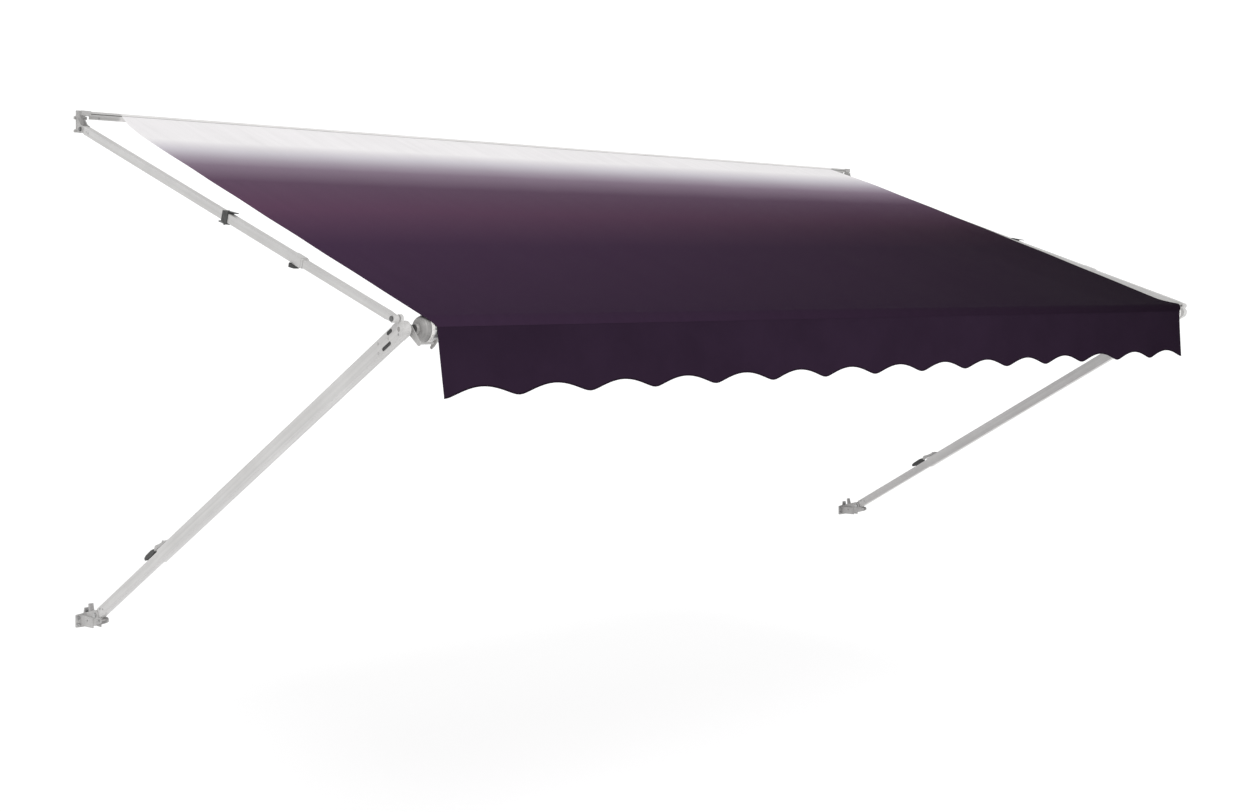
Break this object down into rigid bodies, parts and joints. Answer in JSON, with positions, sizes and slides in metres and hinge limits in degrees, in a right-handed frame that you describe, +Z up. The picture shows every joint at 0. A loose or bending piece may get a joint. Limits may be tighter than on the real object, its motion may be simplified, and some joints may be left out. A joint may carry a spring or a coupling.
{
  "type": "canvas patio awning",
  "caption": "Manual patio awning, open: plain canvas canopy with a scalloped valance on a spring roller, telescoping side arms and rafters, and a slim wall rail.",
  "frame": {"origin": "middle of the wall rail's flat back", "axes": "+X along the wall to the right end as seen from outside, -Y out from the wall, +Z up; the wall is the plane y = 0"},
  "size_m": [4.662, 2.1475, 1.9825],
  "materials": {
    "rail": "satin",
    "canvas": "matte",
    "nylon": "matte",
    "arm_paint": "satin",
    "casting": "satin",
    "black_plastic": "matte",
    "steel": "satin"
  },
  "bodies": {
    "wall_side": {"awning_rail": "rail", "rail_cord": "nylon", "canopy": "canvas", "top_bracket_left": "casting", "top_pin_left": "steel", "foot_bracket_left": "casting", "foot_pin_left": "steel", "top_bracket_right": "casting", "top_pin_right": "steel", "foot_bracket_right": "casting", "foot_pin_right": "steel"},
    "arm_lower_left": {"foot_casting_left": "casting", "inner_arm_left": "arm_paint"},
    "arm_upper_left": {"outer_arm_left": "arm_paint", "arm_head_left": "casting", "roller_shaft_left": "steel", "handle_bracket_left": "casting", "lock_plate": "casting", "valance": "canvas"},
    "lift_handle_left": {"lift_handle_left": "casting", "handle_grip_left": "black_plastic"},
    "foot_latch_left": {"foot_latch_left": "steel"},
    "rafter_outer_left": {"rafter_wall_end_left": "casting", "outer_rafter_left": "arm_paint", "clamp_collar_left": "casting", "travel_lock_left": "black_plastic"},
    "rafter_inner_left": {"inner_rafter_left": "arm_paint", "rafter_end_left": "casting", "rafter_end_bolt_left": "steel"},
    "rafter_knob_left": {"rafter_knob_left": "black_plastic"},
    "travel_lever_left": {"travel_lock_lever_left": "black_plastic"},
    "arm_lower_right": {"foot_casting_right": "casting", "inner_arm_right": "arm_paint"},
    "arm_upper_right": {"outer_arm_right": "arm_paint", "arm_head_right": "casting", "roller_shaft_right": "steel", "handle_bracket_right": "casting"},
    "lift_handle_right": {"lift_handle_right": "casting", "handle_grip_right": "black_plastic"},
    "foot_latch_right": {"foot_latch_right": "steel"},
    "rafter_outer_right": {"rafter_wall_end_right": "casting", "outer_rafter_right": "arm_paint", "clamp_collar_right": "casting", "travel_lock_right": "black_plastic"},
    "rafter_inner_right": {"inner_rafter_right": "arm_paint", "rafter_end_right": "casting", "rafter_end_bolt_right": "steel"},
    "rafter_knob_right": {"rafter_knob_right": "black_plastic"},
    "travel_lever_right": {"travel_lock_lever_right": "black_plastic"},
    "roller": {"roller_tube": "arm_paint", "canopy_hem_cord": "nylon", "valance_hem_cord": "nylon", "end_cap_left": "casting", "end_cap_right": "casting", "cap_bush_left": "nylon", "cap_bush_right": "nylon", "torsion_spring_left": "steel", "torsion_spring_right": "steel"},
    "roller_lock_lever": {"roller_lock_lever": "black_plastic"}
  },
  "joints": [
    {"name": "arm_fold_left", "type": "hinge", "parent": "wall_side", "child": "arm_lower_left", "pos_m": [-2.277, -0.105, -1.908], "axis": [-1, 0, 0], "range_deg": [0, 60.39], "deforming": ["canopy", "valance"]},
    {"name": "arm_slide_left", "type": "slide", "parent": "arm_lower_left", "child": "arm_upper_left", "axis": [0, -0.8695, 0.494], "range_m": [-0.427, 0]},
    {"name": "rafter_fold_left", "type": "hinge", "parent": "wall_side", "child": "rafter_outer_left", "pos_m": [-2.305, -0.04, -0.058], "axis": [1, 0, 0], "range_deg": [0, 71.25]},
    {"name": "rafter_slide_left", "type": "slide", "parent": "rafter_outer_left", "child": "rafter_inner_left", "axis": [0, -0.947, -0.3213], "range_m": [-0.458, 0]},
    {"name": "arm_fold_right", "type": "hinge", "parent": "wall_side", "child": "arm_lower_right", "pos_m": [2.277, -0.105, -1.908], "axis": [-1, 0, 0], "range_deg": [0, 60.39]},
    {"name": "arm_slide_right", "type": "slide", "parent": "arm_lower_right", "child": "arm_upper_right", "axis": [0, -0.8695, 0.494], "range_m": [-0.427, 0]},
    {"name": "rafter_fold_right", "type": "hinge", "parent": "wall_side", "child": "rafter_outer_right", "pos_m": [2.305, -0.04, -0.058], "axis": [1, 0, 0], "range_deg": [0, 71.25]},
    {"name": "rafter_slide_right", "type": "slide", "parent": "rafter_outer_right", "child": "rafter_inner_right", "axis": [0, -0.947, -0.3213], "range_m": [-0.458, 0]},
    {"name": "roller_turn", "type": "hinge", "parent": "arm_upper_left", "child": "roller", "pos_m": [0, -2.085, -0.783], "axis": [1, 0, 0], "range_deg": [0, 2880]},
    {"name": "roller_lock", "type": "hinge", "parent": "arm_upper_left", "child": "roller_lock_lever", "pos_m": [-2.1955, -2.13108, -0.82449], "axis": [1, 0, 0], "range_deg": [0, 25]},
    {"name": "lift_handle_left", "type": "hinge", "parent": "arm_upper_left", "child": "lift_handle_left", "pos_m": [-2.277, -0.63186, -1.57012], "axis": [1, 0, 0], "range_deg": [0, 30]},
    {"name": "foot_latch_left", "type": "hinge", "parent": "wall_side", "child": "foot_latch_left", "pos_m": [-2.277, -0.052, -1.936], "axis": [-1, 0, 0], "range_deg": [0, 12], "stiffness_Nm_per_rad": 1, "springref_deg": -17.19},
    {"name": "rafter_clamp_left", "type": "hinge", "parent": "rafter_outer_left", "child": "rafter_knob_left", "pos_m": [-2.3105, -1.54524, -0.59198], "axis": [0, -0.3213, 0.947], "range_deg": [-540, 0]},
    {"name": "travel_lock_left", "type": "hinge", "parent": "rafter_outer_left", "child": "travel_lever_left", "pos_m": [-2.305, -1.11569, -0.44813], "axis": [-1, 0, 0], "range_deg": [0, 70]},
    {"name": "lift_handle_right", "type": "hinge", "parent": "arm_upper_right", "child": "lift_handle_right", "pos_m": [2.277, -0.63186, -1.57012], "axis": [1, 0, 0], "range_deg": [0, 30]},
    {"name": "foot_latch_right", "type": "hinge", "parent": "wall_side", "child": "foot_latch_right", "pos_m": [2.277, -0.052, -1.936], "axis": [-1, 0, 0], "range_deg": [0, 12], "stiffness_Nm_per_rad": 1, "springref_deg": -17.19},
    {"name": "rafter_clamp_right", "type": "hinge", "parent": "rafter_outer_right", "child": "rafter_knob_right", "pos_m": [2.3105, -1.54524, -0.59198], "axis": [0, -0.3213, 0.947], "range_deg": [-540, 0]},
    {"name": "travel_lock_right", "type": "hinge", "parent": "rafter_outer_right", "child": "travel_lever_right", "pos_m": [2.305, -1.11569, -0.44813], "axis": [-1, 0, 0], "range_deg": [0, 70]}
  ],
  "couplings": [
    {"joint": "arm_slide_left", "follows": "arm_fold_left", "m_per_rad": -0.40515},
    {"joint": "rafter_fold_left", "follows": "arm_fold_left", "ratio": 1.1799},
    {"joint": "rafter_slide_left", "follows": "arm_fold_left", "m_per_rad": -0.43456},
    {"joint": "arm_fold_right", "follows": "arm_fold_left", "ratio": 1},
    {"joint": "arm_slide_right", "follows": "arm_fold_left", "m_per_rad": -0.40515},
    {"joint": "rafter_fold_right", "follows": "arm_fold_left", "ratio": 1.1799},
    {"joint": "rafter_slide_right", "follows": "arm_fold_left", "m_per_rad": -0.43456},
    {"joint": "roller_turn", "follows": "arm_fold_left", "ratio": 47.693}
  ]
}
